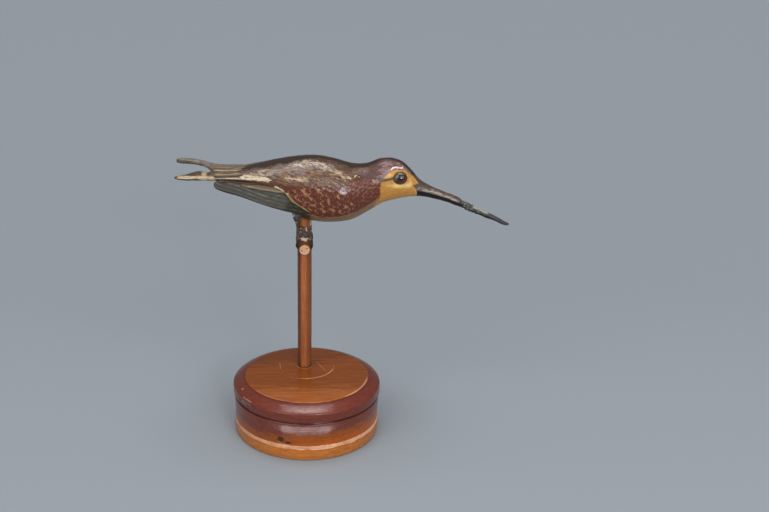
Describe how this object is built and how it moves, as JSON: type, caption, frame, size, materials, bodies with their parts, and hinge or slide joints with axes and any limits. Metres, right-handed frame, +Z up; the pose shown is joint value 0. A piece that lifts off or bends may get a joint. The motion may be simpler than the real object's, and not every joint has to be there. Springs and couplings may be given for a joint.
{
  "type": "carved bird on a turned stand",
  "caption": "Small painted wooden hummingbird with a long decurved bill and a forked tail, carried by a dowel post on a round turned base.",
  "frame": {"origin": "centre of the turned base's underside", "axes": "+X along the bill, +Y towards the bird's left side, +Z up"},
  "size_m": [0.1483, 0.0676, 0.1284],
  "materials": {
    "stained_base": "satin",
    "post_wood": "satin",
    "end_grain": "matte",
    "bird_paint": "satin",
    "wing_paint": "satin",
    "bill_paint": "satin",
    "eye_glass": "polished",
    "foot_paint": "matte"
  },
  "bodies": {
    "root": {"turned_base": "stained_base", "post": "post_wood", "perch_peg": "end_grain", "carved_body": "bird_paint", "right_wing": "wing_paint", "left_wing": "wing_paint", "bill": "bill_paint", "right_eye": "eye_glass", "left_eye": "eye_glass", "right_foot": "foot_paint", "left_foot": "foot_paint"}
  },
  "joints": []
}
